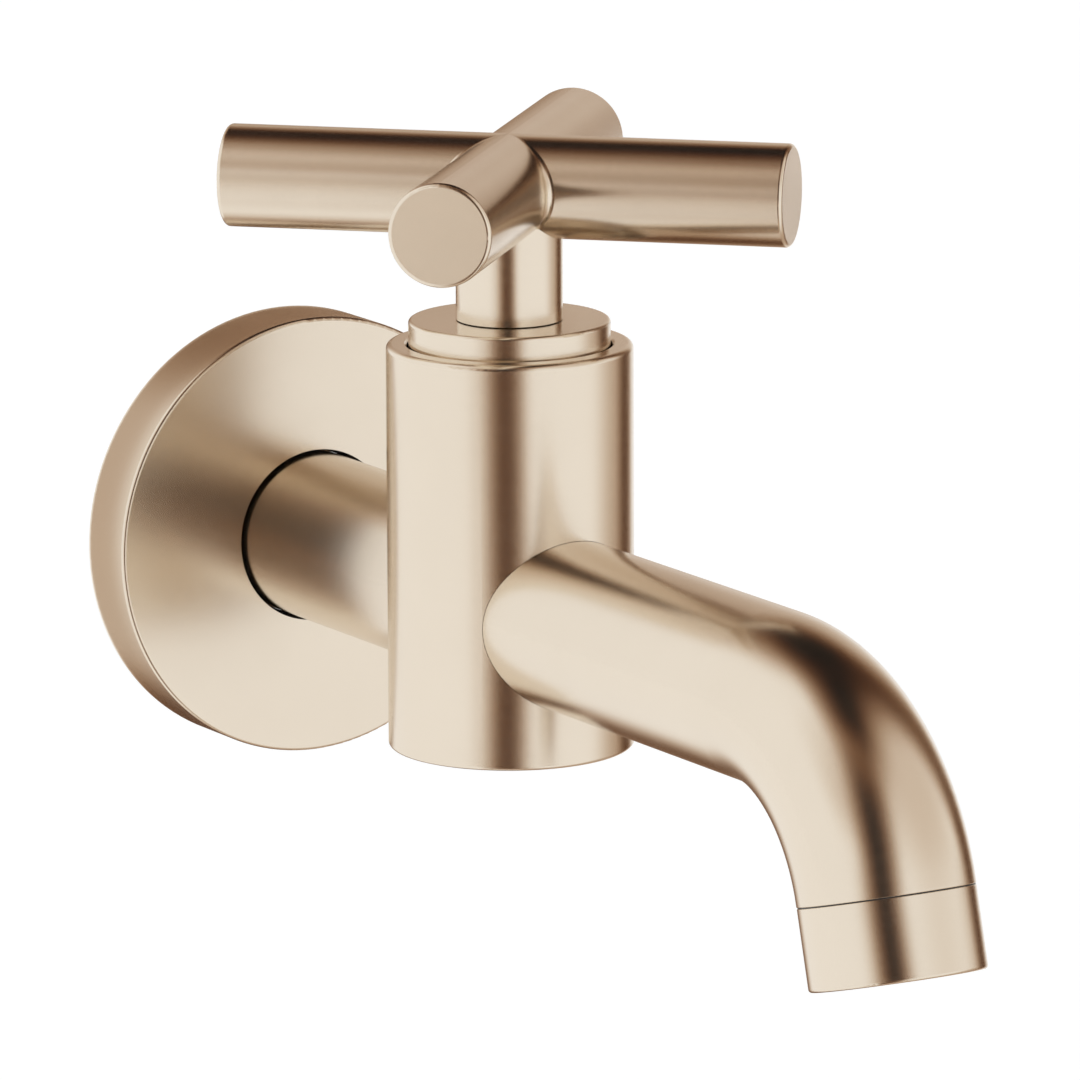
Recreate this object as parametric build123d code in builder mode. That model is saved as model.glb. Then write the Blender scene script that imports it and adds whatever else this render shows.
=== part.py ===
from build123d import *
from math import cos, hypot, isclose, pi, radians, sin
import os

# Wall-mounted basin tap for one water supply, with a cross handle and a fixed spout.
# Millimetres. The origin is the centre of the rosette's back face, in the plane of the wall.
# +Y goes into the wall, the tap stands out along -Y, and +Z is up.

os.makedirs("parts", exist_ok=True)

# Rosette: the turned disc that covers the hole in the wall
rosette_diameter = 55.5
rosette_thickness = 8.8
rosette_wall = 1.6
rosette_edge_round = 0.5
rosette_gap = 0.45            # open ring between the rosette and the tube
rosette_hub_wall = 3.2
rosette_hub_setback = 2.2     # wall plane to the back of the hub
rosette_lip = 1.4             # metal in front of the ring that grips the tube
grip_ring_section = 1.9
wall_seal_width = 2.0
wall_seal_thickness = 3.2

# Tubes: the inlet tube and the spout are cut from one size of tube
tube_diameter = 20.9
tube_wall = 2.45
valve_distance = 56.1         # wall plane to the axis of the valve
spout_straight = 59.3         # axis of the valve to the start of the bend
bend_radius = 24.9            # of the tube's centre line
bend_angle = 74.7
spout_end_length = 0.3        # straight stretch after the bend
tube_edge_break = 0.06

# Nipple that screws into the wall and carries the inlet tube
thread_diameter = 20.96       # G 1/2 male, crests
thread_length = 13.0
thread_lead = 1.2             # depth of the relief and of the lead chamfer
nipple_neck = 1.2
nipple_flange = 0.8
nipple_nose = 6.0             # beyond the last sealing ring
nipple_nose_lead = 0.5
nipple_bore = 9.2
nipple_key = 10.0             # hexagon key, across flats
nipple_key_depth = 4.5
nipple_ring_section = 1.8
nipple_ring_places = (4.2, 7.7)     # beyond the set screw
strainer_diameter = 15.0
strainer_depth = 2.4
strainer_plate = 0.8
strainer_rim = 0.8
tube_screw_place = 10.3       # from the flange
tube_screw_diameter = 4.0
tube_screw_key = 2.0
tube_screw_key_depth = 1.6
tube_screw_bite = 1.0         # how deep the screw's groove is in the nipple

# Valve body: a turned cylinder with a tube brazed into each side
valve_rim = 2.5               # metal outside the collar's gap
valve_above_tube = 32.4
valve_below_tube = 17.4
valve_top_round = 0.7
recess_edge_break = 0.25      # bevel inside the rim
valve_bottom_round = 0.5
socket_web = 1.0              # between a tube's end and the chamber round the headpart
tube_seam = 0.03              # fine line round a tube where it enters the valve body
outlet_bore_reach = 2.8       # the outlet's bore goes this far into the chamber
inlet_passage = 8.8
passage_step = 0.1            # passage's lowest line above the tube's
seat_web = 1.6
flow_gap = 1.1                # open ring round the headpart's barrel

# Headpart: quarter-turn valve with two ceramic discs
seal_height = 2.5
seal_inner_diameter = 11.0
seal_proud = 0.9
disc_diameter = 14.4
disc_thickness = 2.8
disc_lap_gap = 0.05
disc_notch_width = 2.4
disc_notch_depth = 0.7
port_height = 3.1
port_mid_radius = 3.85
port_angle = 29.0
drive_slot_width = 2.6
drive_slot_depth = 1.2
flow_room = 2.95              # height over the discs through which the water leaves
window_width = 7.0
window_count = 4
barrel_wall = 0.9
spindle_flange = 1.8
slide_washer_thickness = 0.5
headpart_shoulder = 1.1       # the thread stands this far out of the chamber
headpart_thread_length = 6.4
body_gasket_thickness = 1.0
body_gasket_overhang = 1.0    # past the hexagon's flats
hexagon_step = 0.1            # the hexagon's flats past the thread
hexagon_height = 5.0
headpart_neck_diameter = 15.0
spindle_diameter = 9.9
spindle_ring_section = 1.25
spindle_ring_places = (3.5, 7.5)    # above the top of the disc room
clip_thickness = 0.8
clip_diameter = 12.0
clip_opening = 4.0
spline_tip_diameter = 8.0
spline_depth = 0.35
spline_teeth = 20
spline_groove = 3.0

# Collar: the cover nut between the valve body and the handle
collar_proud = 2.9            # above the valve body
collar_gap = 0.25             # open ring between the collar and the valve body
collar_web = 1.0
collar_edge_round = 0.4

# Cross handle
handle_gap = 0.12             # between the collar and the turning neck
neck_diameter = 12.95
arm_diameter = 12.5
arm_span = 69.8
arm_height = 16.4             # collar's top to the arms' centre lines
arm_end_round = 0.5
arm_root_round = 0.9          # hollow curve where two arms meet
handle_angle = 45.4           # through bar from +X, with the valve closed
socket_roof = 0.55            # metal between the socket in the neck and the arms
handle_screw_diameter = 3.0
handle_screw_height = 4.7     # above the collar
handle_screw_key = 1.5
handle_screw_key_depth = 1.3

# Aerator in the mouth of the spout
aerator_setback = 0.025       # behind the outside of the tube
aerator_seam = 0.16           # open groove between the ring and the tube
aerator_seam_depth = 0.6
aerator_length = 9.9
aerator_thread_step = 0.7     # the thread's seat past the tube's bore
aerator_thread_length = 4.5
aerator_wall = 1.4            # between the thread and the bore
aerator_lip = 1.2
aerator_lip_width = 0.65
aerator_edge_round = 0.4
washer_thickness = 1.2
washer_width = 2.7
insert_wall = 0.9
insert_ledge = 0.45
grid_thickness = 2.4
grid_pitch = 2.2
grid_web = 0.5
honeycomb_turn = 30           # sets the cells flat to flat
diffuser_thickness = 1.4
diffuser_place = 4.0          # above the grid
diffuser_hole = 1.3
diffuser_rings = ((2.2, 6), (4.4, 12))  # radius of each ring of holes, and how many it has
filter_thickness = 1.0
filter_pitch = 2.3
filter_hole = 1.4             # across flats
filter_edge = 1.2             # from the washer's bore to the centres of the outer holes

# Clearances, all on the radius or along the axis
slip_clearance = 0.05         # parts that slide together or turn in each other
thread_clearance = 0.05
seal_clearance = 0.02
guide_clearance = 0.1
hexagon_clearance = 0.375     # round the hexagon's corners
clip_clearance = 0.4          # between the spindle's clip and the collar's web
spline_clearance = 0.4        # round the spline in the collar's web
spline_end_clearance = 0.5    # between the spline's end and the bottom of its socket

# Worked out from the sizes above. The headpart's discs set the width of its barrel, and so, from
# the inside out, the chamber, the thread, the hexagon, the collar and the valve body.
tube_radius = tube_diameter / 2
tube_bore = tube_radius - tube_wall
disc_radius = disc_diameter / 2
barrel_bore = disc_radius + guide_clearance
barrel_radius = barrel_bore + barrel_wall
chamber_radius = barrel_radius + flow_gap
headpart_thread_radius = chamber_radius + headpart_shoulder
hexagon_flat_radius = headpart_thread_radius + hexagon_step
recess_radius = hexagon_flat_radius / cos(pi / 6) + hexagon_clearance
collar_radius = recess_radius - collar_gap
valve_radius = recess_radius + valve_rim
tube_socket_radius = chamber_radius + socket_web
passage_radius = inlet_passage / 2
passage_z = passage_radius + passage_step - tube_bore
seat_z = passage_z + passage_radius + seat_web
fixed_disc_z = seat_z + seal_height
turning_disc_z = fixed_disc_z + disc_thickness + disc_lap_gap
turning_disc_top = turning_disc_z + disc_thickness
flange_z = turning_disc_top + flow_room
disc_room_top = flange_z + spindle_flange + slide_washer_thickness + slip_clearance
hexagon_z = disc_room_top + headpart_thread_length
recess_z = hexagon_z - body_gasket_thickness
hexagon_top = hexagon_z + hexagon_height
collar_top = valve_above_tube + collar_proud
clip_z = collar_top - collar_web - clip_clearance - clip_thickness
headpart_top = clip_z - guide_clearance
spindle_radius = spindle_diameter / 2
spindle_bore = spindle_radius + slip_clearance
spindle_flange_radius = disc_radius - 2 * guide_clearance
neck_radius = neck_diameter / 2
arm_radius = arm_diameter / 2
arm_z = collar_top + arm_height
neck_z = collar_top + handle_gap
socket_top = arm_z - arm_radius - socket_roof
spline_tip_radius = spline_tip_diameter / 2
spline_root_radius = spline_tip_radius - spline_depth
spline_top = socket_top - spline_end_clearance
aerator_radius = tube_radius - aerator_setback
aerator_thread_radius = tube_bore + aerator_thread_step
aerator_bore = aerator_thread_radius - aerator_wall
aerator_lip_place = aerator_length - aerator_lip
washer_bore = aerator_thread_radius - washer_width

# Planes and axes. In each section plane x is the radius and y runs along the turned part's axis.
wall_axis = Axis((0, 0, 0), (0, -1, 0))
wall_section = Plane(origin=(0, 0, 0), x_dir=(1, 0, 0), z_dir=(0, 0, -1))
valve_axis = Axis((0, -valve_distance, 0), (0, 0, 1))
valve_section = Plane.XZ.offset(valve_distance)
valve_level = Plane(origin=(0, -valve_distance, 0), x_dir=(1, 0, 0), z_dir=(0, 0, 1))
bend_y = -valve_distance - spout_straight
bend_start = Plane.XZ.offset(-bend_y)
bend_turn = radians(bend_angle)
mouth_way = Vector(0, -cos(bend_turn), -sin(bend_turn))
bend_end = Vector(0, bend_y - bend_radius * sin(bend_turn), bend_radius * (cos(bend_turn) - 1))
mouth = bend_end + mouth_way * spout_end_length
mouth_axis = Axis(mouth, mouth_way)
mouth_plane = Plane(origin=mouth, x_dir=(1, 0, 0), z_dir=mouth_way)
mouth_section = Plane(origin=mouth, x_dir=(1, 0, 0), z_dir=Vector(1, 0, 0).cross(mouth_way))


def hexagonal_grid(pitch, reach):
    """Centres of a honeycomb of the given pitch that lie within reach of the middle."""
    steps = range(-int(reach / pitch) - 2, int(reach / pitch) + 3)
    centres = [(pitch * (i + j / 2), pitch * j * sin(pi / 3)) for i in steps for j in steps]
    return [centre for centre in centres if hypot(*centre) <= reach]


def spline_outline(clearance):
    """Corners of the toothed outline that the spindle and the handle share."""
    radii = (spline_root_radius + clearance, spline_tip_radius + clearance)
    step = pi / spline_teeth
    return [(radii[i % 2] * cos(i * step), radii[i % 2] * sin(i * step)) for i in range(2 * spline_teeth)]


def hexagon_holes(centres, across_flats, turn=0):
    """Cuts hexagons at the given centres out of the sketch that is being drawn."""
    with Locations(*centres):
        RegularPolygon(across_flats / 2, 6, major_radius=False, rotation=turn, mode=Mode.SUBTRACT)


def kidney_ports(turn):
    """Cuts the two kidney-shaped ports out of the sketch of a disc, turned by the given angle."""
    middle_line = CenterArc((0, 0), port_mid_radius, -port_angle / 2, port_angle)
    with PolarLocations(0, 2, start_angle=turn):
        SlotArc(middle_line, port_height, mode=Mode.SUBTRACT)


def circle_edges(part, radius):
    """Round edges of a part that have the given radius."""
    return part.edges().filter_by(GeomType.CIRCLE).filter_by(lambda edge: isclose(edge.radius, radius))


# Rosette: a cup with a hub that holds the grip ring on the tube
rosette_radius = rosette_diameter / 2
rosette_bore = tube_radius + rosette_gap
grip_groove_front = rosette_thickness - rosette_lip
grip_groove_back = grip_groove_front - grip_ring_section - 2 * guide_clearance
grip_groove_root = tube_radius + grip_ring_section + 2 * seal_clearance
rosette_hub = rosette_bore + rosette_hub_wall
rosette_step = rosette_radius - rosette_wall - wall_seal_width
rosette_floor = rosette_thickness - rosette_wall
with BuildPart() as rosette:
    with BuildSketch(wall_section):
        with BuildLine():
            Polyline(
                (rosette_radius, 0),
                (rosette_radius, rosette_thickness),
                (rosette_bore, rosette_thickness),
                (rosette_bore, grip_groove_front),
                (grip_groove_root, grip_groove_front),
                (grip_groove_root, grip_groove_back),
                (rosette_bore, grip_groove_back),
                (rosette_bore, rosette_hub_setback),
                (rosette_hub, rosette_hub_setback),
                (rosette_hub, rosette_floor),
                (rosette_step, rosette_floor),
                (rosette_step, wall_seal_thickness),
                (rosette_radius - rosette_wall, wall_seal_thickness),
                (rosette_radius - rosette_wall, 0),
                close=True,
            )
        make_face()
    revolve(axis=wall_axis)
    fillet(circle_edges(rosette, rosette_radius).sort_by(Axis.Y)[0], rosette_edge_round)
rosette.part.label = "rosette"
export_step(rosette.part, "parts/rosette.step")

# Rubber ring in the rosette's hub, which grips the tube
grip_ring_radius = grip_ring_section / 2
with BuildPart() as rosette_grip_ring:
    with BuildSketch(wall_section):
        with Locations((
            tube_radius + seal_clearance + grip_ring_radius,
            (grip_groove_front + grip_groove_back) / 2,
        )):
            Circle(grip_ring_radius)
    revolve(axis=wall_axis)
rosette_grip_ring.part.label = "rosette_grip_ring"
export_step(rosette_grip_ring.part, "parts/rosette_grip_ring.step")

# Foam ring that seals the rosette's rim to the wall
with BuildPart() as wall_seal:
    with BuildSketch(Plane.XZ.offset(guide_clearance)):
        Circle(rosette_radius - rosette_wall - slip_clearance)
        Circle(rosette_step, mode=Mode.SUBTRACT)
    extrude(amount=wall_seal_thickness - guide_clearance)
wall_seal.part.label = "wall_seal"
export_step(wall_seal.part, "parts/wall_seal.step")

# Nipple: male thread in the wall, spigot with sealing rings in the inlet tube
thread_radius = thread_diameter / 2
flange_place = nipple_neck + nipple_flange
spigot_radius = tube_bore - slip_clearance
nipple_ring_root = tube_bore - 2 * seal_clearance - nipple_ring_section
nipple_ring_half = nipple_ring_section / 2 + guide_clearance
screw_line = flange_place + tube_screw_place
ring_lines = [screw_line + place for place in nipple_ring_places]
spigot_end = ring_lines[-1] + nipple_nose
screw_groove_root = spigot_radius - tube_screw_bite
screw_groove_half = tube_screw_diameter / 2 + guide_clearance
with BuildPart() as wall_nipple:
    with BuildSketch(wall_section):
        with BuildLine():
            Polyline(
                (nipple_bore / 2, -thread_length),
                (thread_radius, -thread_length),
                (thread_radius, 0),
                (thread_radius - thread_lead, 0),
                (thread_radius - thread_lead, nipple_neck),
                (tube_radius, nipple_neck),
                (tube_radius, flange_place),
                (spigot_radius, flange_place),
                (spigot_radius, spigot_end),
                (nipple_bore / 2, spigot_end),
                close=True,
            )
        make_face()
    revolve(axis=wall_axis)
    chamfer(circle_edges(wall_nipple, thread_radius).sort_by(Axis.Y)[-1], thread_lead)
    chamfer(circle_edges(wall_nipple, spigot_radius).sort_by(Axis.Y)[0], nipple_nose_lead)
    for line in ring_lines:
        with BuildSketch(Plane.XZ.offset(line - nipple_ring_half)):
            Circle(spigot_radius + slip_clearance)
            Circle(nipple_ring_root, mode=Mode.SUBTRACT)
        extrude(amount=2 * nipple_ring_half, mode=Mode.SUBTRACT)
    with BuildSketch(Plane.XZ.offset(screw_line - screw_groove_half)):
        Circle(spigot_radius + slip_clearance)
        Circle(screw_groove_root, mode=Mode.SUBTRACT)
    extrude(amount=2 * screw_groove_half, mode=Mode.SUBTRACT)
    with BuildSketch(Plane.XZ.offset(spigot_end - nipple_key_depth)):
        RegularPolygon(nipple_key / 2, 6, major_radius=False)
    extrude(amount=nipple_key_depth, mode=Mode.SUBTRACT)
    with BuildSketch(Plane.XZ.offset(-thread_length)):
        Circle(strainer_diameter / 2 + slip_clearance)
    extrude(amount=strainer_depth, mode=Mode.SUBTRACT)
wall_nipple.part.label = "wall_nipple"
export_step(wall_nipple.part, "parts/wall_nipple.step")

# Strainer: a perforated cup pushed into the mouth of the nipple
strainer_radius = strainer_diameter / 2
with BuildPart() as inlet_strainer:
    with BuildSketch(Plane.XZ.offset(strainer_depth - strainer_plate - thread_length)):
        Circle(strainer_radius)
        hexagon_holes(hexagonal_grid(filter_pitch, nipple_bore / 2), filter_hole, honeycomb_turn)
    extrude(amount=strainer_plate)
    with BuildSketch(Plane.XZ.offset(guide_clearance - thread_length)):
        Circle(strainer_radius)
        Circle(strainer_radius - strainer_rim, mode=Mode.SUBTRACT)
    extrude(amount=strainer_depth - guide_clearance)
inlet_strainer.part.label = "inlet_strainer"
export_step(inlet_strainer.part, "parts/inlet_strainer.step")

# Sealing rings between the nipple and the inlet tube
nipple_ring_radius = nipple_ring_section / 2
nipple_ring_middle = nipple_ring_root + seal_clearance + nipple_ring_radius
with BuildPart() as nipple_rings:
    with BuildSketch(wall_section):
        with Locations(*[(nipple_ring_middle, line) for line in ring_lines]):
            Circle(nipple_ring_radius)
    revolve(axis=wall_axis)
nipple_rings.part.label = "nipple_rings"
export_step(nipple_rings.part, "parts/nipple_rings.step")

# Inlet tube from the nipple's flange to the valve body, tapped underneath for the set screw
inlet_tube_end = valve_distance - tube_socket_radius
screw_radius = tube_screw_diameter / 2
with BuildPart() as inlet_tube:
    with BuildSketch(Plane.XZ.offset(flange_place)):
        Circle(tube_radius)
        Circle(tube_bore, mode=Mode.SUBTRACT)
    extrude(amount=inlet_tube_end - flange_place)
    with BuildSketch(Plane(origin=(0, -screw_line, 0), x_dir=(1, 0, 0), z_dir=(0, 0, -1))):
        Circle(screw_radius + thread_clearance)
    extrude(amount=tube_radius + tube_wall, mode=Mode.SUBTRACT)
inlet_tube.part.label = "inlet_tube"
export_step(inlet_tube.part, "parts/inlet_tube.step")

# Set screw that holds the tube on the nipple
screw_tip = screw_groove_root + guide_clearance
screw_length = tube_radius - screw_tip - 2 * guide_clearance
with BuildPart() as tube_set_screw:
    with BuildSketch(Plane(origin=(0, -screw_line, -screw_tip), x_dir=(1, 0, 0), z_dir=(0, 0, -1))):
        Circle(screw_radius)
    extrude(amount=screw_length)
    with BuildSketch(Plane(tube_set_screw.faces().sort_by(Axis.Z)[0])):
        RegularPolygon(tube_screw_key / 2, 6, major_radius=False)
    extrude(amount=-tube_screw_key_depth, mode=Mode.SUBTRACT)
tube_set_screw.part.label = "tube_set_screw"
export_step(tube_set_screw.part, "parts/tube_set_screw.step")

# Valve body: the inlet comes up through the seat, and the outlet leaves from the chamber over it
with BuildPart() as valve_body:
    with BuildSketch(valve_section):
        with BuildLine():
            Polyline(
                (0, -valve_below_tube),
                (valve_radius, -valve_below_tube),
                (valve_radius, valve_above_tube),
                (recess_radius, valve_above_tube),
                (recess_radius, recess_z),
                (headpart_thread_radius + thread_clearance, recess_z),
                (headpart_thread_radius + thread_clearance, disc_room_top),
                (chamber_radius, disc_room_top),
                (chamber_radius, seat_z),
                (passage_radius, seat_z),
                (passage_radius, passage_z),
                (0, passage_z),
                close=True,
            )
        make_face()
    revolve(axis=valve_axis)
    rims = circle_edges(valve_body, valve_radius).sort_by(Axis.Z)
    fillet(rims[-1], min(valve_top_round, valve_rim / 2))
    fillet(rims[0], valve_bottom_round)
    chamfer(circle_edges(valve_body, recess_radius).sort_by(Axis.Z)[-1], recess_edge_break)
    with BuildSketch(Plane.XZ.offset(valve_distance + tube_socket_radius)):
        Circle(tube_radius + tube_seam)
    extrude(amount=valve_radius, mode=Mode.SUBTRACT)
    with BuildSketch(Plane.XZ.offset(valve_distance + chamber_radius - outlet_bore_reach)):
        Circle(tube_bore)
    extrude(amount=valve_radius, mode=Mode.SUBTRACT)
    with BuildSketch(Plane.XZ.offset(inlet_tube_end)):
        Circle(tube_radius + tube_seam)
    extrude(amount=-valve_radius, mode=Mode.SUBTRACT)
    with BuildSketch(Plane.XZ.offset(valve_distance)):
        with Locations((0, passage_z)):
            Circle(passage_radius)
    extrude(amount=-valve_radius, mode=Mode.SUBTRACT)
valve_body.part.label = "valve_body"
export_step(valve_body.part, "parts/valve_body.step")

# Spout: straight tube, bend and a short end, with a threaded seat for the aerator
mouth_seat_depth = aerator_thread_length + washer_thickness + slip_clearance
with BuildPart() as spout_tube:
    with BuildSketch(Plane.XZ.offset(valve_distance + tube_socket_radius)):
        Circle(tube_radius)
        Circle(tube_bore, mode=Mode.SUBTRACT)
    extrude(amount=spout_straight - tube_socket_radius)
    with BuildSketch(bend_start):
        Circle(tube_radius)
        Circle(tube_bore, mode=Mode.SUBTRACT)
    revolve(axis=Axis((0, bend_y, -bend_radius), (1, 0, 0)), revolution_arc=bend_angle)
    with BuildSketch(mouth_plane):
        Circle(tube_radius)
        Circle(tube_bore, mode=Mode.SUBTRACT)
    extrude(amount=-spout_end_length)
    with BuildSketch(mouth_plane):
        Circle(aerator_thread_radius + thread_clearance)
    extrude(amount=-mouth_seat_depth, mode=Mode.SUBTRACT)
    chamfer(circle_edges(spout_tube, tube_radius).sort_by(Axis.Z)[0], tube_edge_break)
spout_tube.part.label = "spout_tube"
export_step(spout_tube.part, "parts/spout_tube.step")

# Aerator ring: screwed into the spout, with a lip that carries the insert
lip_radius = aerator_bore - aerator_lip_width
with BuildPart() as aerator_ring:
    with BuildSketch(mouth_section):
        with BuildLine():
            Polyline(
                (aerator_bore, -aerator_thread_length),
                (aerator_thread_radius, -aerator_thread_length),
                (aerator_thread_radius, 0),
                (aerator_radius - aerator_seam_depth, 0),
                (aerator_radius - aerator_seam_depth, aerator_seam),
                (aerator_radius, aerator_seam),
                (aerator_radius, aerator_length),
                (lip_radius, aerator_length),
                (lip_radius, aerator_lip_place),
                (aerator_bore, aerator_lip_place),
                close=True,
            )
        make_face()
    revolve(axis=mouth_axis)
    ring_edges = circle_edges(aerator_ring, aerator_radius).sort_by(Axis.Z)
    fillet(ring_edges[0], aerator_edge_round)
    chamfer(ring_edges[-1], tube_edge_break)
aerator_ring.part.label = "aerator_ring"
export_step(aerator_ring.part, "parts/aerator_ring.step")

# Rubber washer between the aerator and the spout
with BuildPart() as aerator_washer:
    with BuildSketch(mouth_plane.offset(-aerator_thread_length)):
        Circle(aerator_thread_radius)
        Circle(washer_bore, mode=Mode.SUBTRACT)
    extrude(amount=-washer_thickness)
aerator_washer.part.label = "aerator_washer"
export_step(aerator_washer.part, "parts/aerator_washer.step")

# Aerator insert: a sleeve that ends in a honeycomb
insert_radius = aerator_bore - slip_clearance
insert_bore = insert_radius - insert_wall
insert_top = filter_thickness - aerator_thread_length
grid_place = aerator_length - guide_clearance - grid_thickness
ledge_place = grid_place - diffuser_place
with BuildPart() as aerator_insert:
    with BuildSketch(mouth_section):
        with BuildLine():
            Polyline(
                (0, grid_place),
                (insert_bore - insert_ledge, grid_place),
                (insert_bore - insert_ledge, ledge_place),
                (insert_bore, ledge_place),
                (insert_bore, insert_top),
                (insert_radius, insert_top),
                (insert_radius, aerator_lip_place),
                (lip_radius - slip_clearance, aerator_lip_place),
                (lip_radius - slip_clearance, grid_place + grid_thickness),
                (0, grid_place + grid_thickness),
                close=True,
            )
        make_face()
    revolve(axis=mouth_axis)
    with BuildSketch(mouth_plane.offset(grid_place)):
        with Locations(*hexagonal_grid(grid_pitch, insert_bore - insert_ledge - grid_pitch / 2)):
            RegularPolygon((grid_pitch - grid_web) / 2, 6, major_radius=False, rotation=honeycomb_turn)
    extrude(amount=grid_thickness, mode=Mode.SUBTRACT)
aerator_insert.part.label = "aerator_insert"
export_step(aerator_insert.part, "parts/aerator_insert.step")

# Diffuser plate on the insert's ledge, which breaks the water into jets
with BuildPart() as aerator_diffuser:
    with BuildSketch(mouth_plane.offset(ledge_place)):
        Circle(insert_bore - slip_clearance)
        for radius, count in diffuser_rings:
            with PolarLocations(radius, count):
                Circle(diffuser_hole / 2, mode=Mode.SUBTRACT)
    extrude(amount=-diffuser_thickness)
aerator_diffuser.part.label = "aerator_diffuser"
export_step(aerator_diffuser.part, "parts/aerator_diffuser.step")

# Filter plate over the insert
with BuildPart() as aerator_filter:
    with BuildSketch(mouth_plane.offset(insert_top)):
        Circle(insert_radius)
        hexagon_holes(hexagonal_grid(filter_pitch, washer_bore - filter_edge), filter_hole, honeycomb_turn)
    extrude(amount=-filter_thickness)
aerator_filter.part.label = "aerator_filter"
export_step(aerator_filter.part, "parts/aerator_filter.step")

# Seat seal: the rubber ring that the headpart presses on the seat
with BuildPart() as seat_seal:
    with BuildSketch(valve_level.offset(seat_z)):
        Circle(disc_radius)
        Circle(seal_inner_diameter / 2, mode=Mode.SUBTRACT)
    extrude(amount=seal_height)
seat_seal.part.label = "seat_seal"
export_step(seat_seal.part, "parts/seat_seal.step")

# Fixed ceramic disc: two kidney ports in line with the tubes, notched to stay still
with BuildPart() as fixed_disc:
    with BuildSketch(valve_level.offset(fixed_disc_z)):
        Circle(disc_radius)
        with PolarLocations(disc_radius, 2):
            Rectangle(2 * disc_notch_depth, disc_notch_width, mode=Mode.SUBTRACT)
        kidney_ports(90)
    extrude(amount=disc_thickness)
fixed_disc.part.label = "fixed_disc"
export_step(fixed_disc.part, "parts/fixed_disc.step")

# Turning ceramic disc: the same ports a quarter turn away, and a slot on top for the spindle
with BuildPart() as turning_disc:
    with BuildSketch(valve_level.offset(turning_disc_z)):
        Circle(disc_radius)
        kidney_ports(0)
    extrude(amount=disc_thickness)
    with BuildSketch(valve_level.offset(turning_disc_top)):
        Rectangle(drive_slot_width, disc_diameter)
    extrude(amount=-drive_slot_depth, mode=Mode.SUBTRACT)
turning_disc.part.label = "turning_disc"
export_step(turning_disc.part, "parts/turning_disc.step")

# Headpart housing: barrel round the discs, thread, hexagon and the neck that carries the collar
barrel_z = seat_z + seal_proud
rib_depth = disc_notch_depth - guide_clearance
with BuildPart() as headpart_housing:
    with BuildSketch(valve_section):
        with BuildLine():
            Polyline(
                (barrel_bore, barrel_z),
                (barrel_radius, barrel_z),
                (barrel_radius, disc_room_top),
                (headpart_thread_radius, disc_room_top),
                (headpart_thread_radius, hexagon_z),
                (headpart_neck_diameter / 2, hexagon_z),
                (headpart_neck_diameter / 2, headpart_top),
                (spindle_bore, headpart_top),
                (spindle_bore, disc_room_top),
                (barrel_bore, disc_room_top),
                close=True,
            )
        make_face()
    revolve(axis=valve_axis)
    with BuildSketch(valve_level.offset(hexagon_z)):
        RegularPolygon(hexagon_flat_radius, 6, major_radius=False)
        Circle(spindle_bore, mode=Mode.SUBTRACT)
    extrude(amount=hexagon_height)
    with BuildSketch(valve_level.offset(turning_disc_top + 2 * guide_clearance)):
        with PolarLocations(barrel_radius, window_count, start_angle=45):
            Rectangle(4 * barrel_wall, window_width)
    extrude(amount=flow_room, mode=Mode.SUBTRACT)
    with BuildSketch(valve_level.offset(fixed_disc_z)):
        with PolarLocations(barrel_bore, 2):
            Rectangle(2 * rib_depth, disc_notch_width - 2 * guide_clearance)
        Circle(barrel_radius, mode=Mode.INTERSECT)
    extrude(amount=disc_thickness)
headpart_housing.part.label = "headpart_housing"
export_step(headpart_housing.part, "parts/headpart_housing.step")

# Gasket between the hexagon and the valve body
with BuildPart() as body_gasket:
    with BuildSketch(valve_level.offset(recess_z)):
        Circle(hexagon_flat_radius + body_gasket_overhang)
        Circle(headpart_thread_radius + thread_clearance, mode=Mode.SUBTRACT)
    extrude(amount=body_gasket_thickness)
body_gasket.part.label = "body_gasket"
export_step(body_gasket.part, "parts/body_gasket.step")

# Collar: cover nut on the headpart's neck, which shows above the valve body
with BuildPart() as collar:
    with BuildSketch(valve_section):
        with BuildLine():
            Polyline(
                (headpart_neck_diameter / 2 + thread_clearance, hexagon_top),
                (collar_radius, hexagon_top),
                (collar_radius, collar_top),
                (spline_tip_radius + spline_clearance, collar_top),
                (spline_tip_radius + spline_clearance, collar_top - collar_web),
                (headpart_neck_diameter / 2 + thread_clearance, collar_top - collar_web),
                close=True,
            )
        make_face()
    revolve(axis=valve_axis)
    fillet(circle_edges(collar, collar_radius).sort_by(Axis.Z)[-1], collar_edge_round)
collar.part.label = "collar"
export_step(collar.part, "parts/collar.step")

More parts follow.
